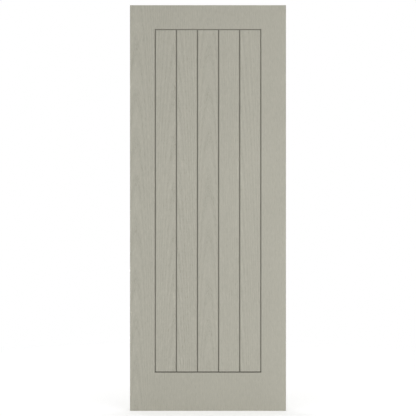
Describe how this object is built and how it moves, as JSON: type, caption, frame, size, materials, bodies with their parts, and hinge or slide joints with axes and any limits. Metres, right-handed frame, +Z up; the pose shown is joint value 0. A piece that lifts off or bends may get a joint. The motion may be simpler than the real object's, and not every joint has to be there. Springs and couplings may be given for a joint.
{
  "type": "cottage door leaf",
  "caption": "Flush composite door leaf with grooved upright boards on both faces, lipped timber edges and a foam core, left undrilled for hinges and lock.",
  "frame": {"origin": "on the hinge edge, at mid thickness, at the foot of the leaf", "axes": "+X from the hinge edge to the lock edge, -Y out of the outer face, +Z up the leaf"},
  "size_m": [0.762, 0.044, 1.981],
  "materials": {
    "face_paint": "satin warm grey paint on a moulded skin with embossed upright wood grain",
    "edge_paint": "satin warm grey paint on hardwood, grain showing through",
    "frame_timber": "satin warm grey paint on laminated timber end and edge",
    "foam": "rigid foam, closed in"
  },
  "bodies": {
    "root": {"outer_skin": "face_paint", "inner_skin": "face_paint", "hinge_lipping": "edge_paint", "lock_lipping": "edge_paint", "hinge_stile": "frame_timber", "lock_stile": "frame_timber", "bottom_rail": "frame_timber", "top_rail": "frame_timber", "foam_core": "foam"}
  },
  "joints": []
}
